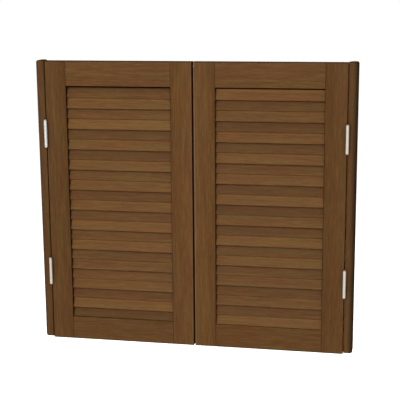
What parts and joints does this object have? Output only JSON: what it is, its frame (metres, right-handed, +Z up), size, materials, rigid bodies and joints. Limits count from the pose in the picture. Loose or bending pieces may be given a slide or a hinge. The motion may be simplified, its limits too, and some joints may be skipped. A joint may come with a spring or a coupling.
{
  "type": "cafe doors",
  "caption": "Louvred cafe doors: a pair of sprung wooden leaves between hanging strips, each swinging to the front and to the back.",
  "frame": {"origin": "middle of the doorway at the bottom of the leaves, half-way through their thickness", "axes": "+X across the doorway, to the right seen from the front; -Y towards the front, the side that the picture shows; +Z up"},
  "size_m": [0.914, 0.0517, 0.827],
  "materials": {
    "frame_wood": "satin walnut stain, grain along each piece",
    "slat_wood": "satin walnut stain, each slat a little lighter or darker",
    "strip_wood": "satin walnut stain",
    "dowel_wood": "unfinished beech",
    "hinge_metal": "pale cream gloss lacquer on rolled steel",
    "spring_steel": "oiled steel wire",
    "screw_steel": "zinc-plated"
  },
  "bodies": {
    "hanging_strips": {"left_strip": "strip_wood", "lower_left_jamb_flange": "hinge_metal", "upper_left_jamb_flange": "hinge_metal", "left_jamb_screws": "screw_steel", "right_strip": "strip_wood", "lower_right_jamb_flange": "hinge_metal", "upper_right_jamb_flange": "hinge_metal", "right_jamb_screws": "screw_steel"},
    "left_centre_flanges": {"lower_left_centre_flange": "hinge_metal", "upper_left_centre_flange": "hinge_metal", "left_hinge_pintles": "hinge_metal", "left_hinge_plugs": "hinge_metal", "left_hinge_springs": "spring_steel"},
    "left_leaf": {"left_hinge_stile": "frame_wood", "left_meeting_stile": "frame_wood", "left_top_rail": "frame_wood", "left_bottom_rail": "frame_wood", "left_slats": "slat_wood", "left_dowels": "dowel_wood", "lower_left_door_flange": "hinge_metal", "upper_left_door_flange": "hinge_metal", "left_door_screws": "screw_steel"},
    "right_centre_flanges": {"lower_right_centre_flange": "hinge_metal", "upper_right_centre_flange": "hinge_metal", "right_hinge_pintles": "hinge_metal", "right_hinge_plugs": "hinge_metal", "right_hinge_springs": "spring_steel"},
    "right_leaf": {"right_hinge_stile": "frame_wood", "right_meeting_stile": "frame_wood", "right_top_rail": "frame_wood", "right_bottom_rail": "frame_wood", "right_slats": "slat_wood", "right_dowels": "dowel_wood", "lower_right_door_flange": "hinge_metal", "upper_right_door_flange": "hinge_metal", "right_door_screws": "screw_steel"}
  },
  "joints": [
    {"name": "left_opens_to_front", "type": "hinge", "parent": "hanging_strips", "child": "left_centre_flanges", "pos_m": [-0.4309, -0.0195, 0.41275], "axis": [0, 0, -1], "range_deg": [0, 90], "stiffness_Nm_per_rad": 1.8, "springref_deg": -47.56},
    {"name": "left_opens_to_back", "type": "hinge", "parent": "left_centre_flanges", "child": "left_leaf", "pos_m": [-0.4309, 0.0195, 0.41275], "axis": [0, 0, 1], "range_deg": [0, 90], "stiffness_Nm_per_rad": 1.8, "springref_deg": -47.56},
    {"name": "right_opens_to_back", "type": "hinge", "parent": "hanging_strips", "child": "right_centre_flanges", "pos_m": [0.4309, 0.0195, 0.41275], "axis": [0, 0, -1], "range_deg": [0, 90], "stiffness_Nm_per_rad": 1.8, "springref_deg": -47.56},
    {"name": "right_opens_to_front", "type": "hinge", "parent": "right_centre_flanges", "child": "right_leaf", "pos_m": [0.4309, -0.0195, 0.41275], "axis": [0, 0, 1], "range_deg": [0, 90], "stiffness_Nm_per_rad": 1.8, "springref_deg": -47.56}
  ]
}
